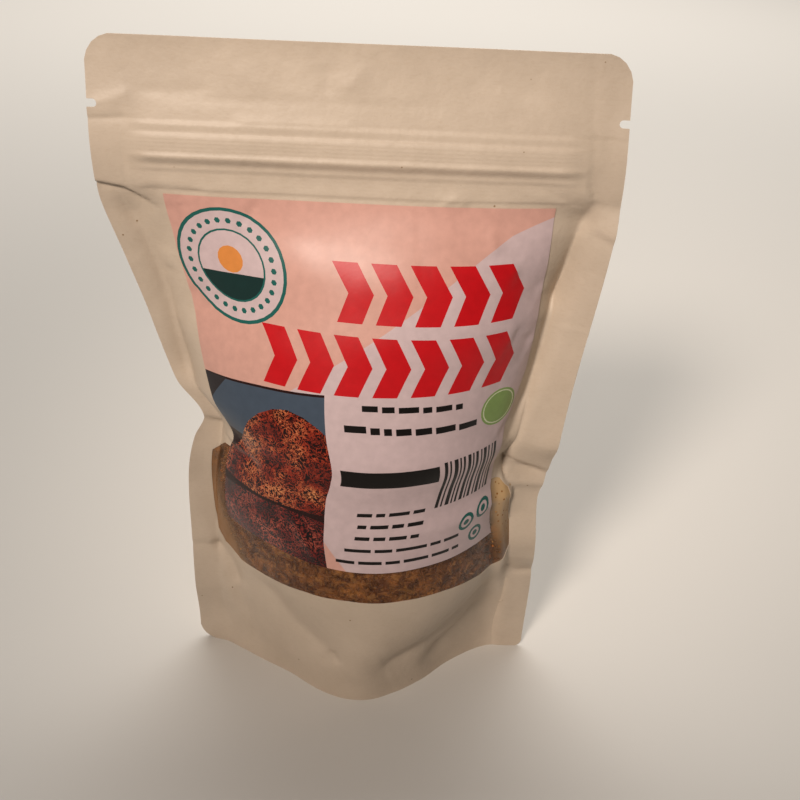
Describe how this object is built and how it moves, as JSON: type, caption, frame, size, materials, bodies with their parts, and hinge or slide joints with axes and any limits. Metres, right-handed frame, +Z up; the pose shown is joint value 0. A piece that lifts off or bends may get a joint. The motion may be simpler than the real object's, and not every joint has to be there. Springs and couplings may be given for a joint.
{
  "type": "stand-up pouch of dried crayfish",
  "caption": "Standing kraft paper zip pouch of dried crayfish, sealed at the sides, with a clear window low on the front and a square sticker label above it.",
  "frame": {"origin": "on the surface the pouch stands on, under the middle of its outline", "axes": "+Z up from the base to the header, -Y out of the front with the label and window, +X to the right of someone facing the front"},
  "size_m": [0.1614, 0.0786, 0.236],
  "materials": {
    "kraft_paper": "matte",
    "clear_film": "gloss",
    "printed_label": "satin",
    "zip_plastic": "satin",
    "dried_crayfish": "matte"
  },
  "bodies": {
    "root": {"pouch": "kraft_paper", "window_film": "clear_film", "label": "printed_label", "press_zip": "zip_plastic", "crayfish_fill": "dried_crayfish"}
  },
  "joints": []
}
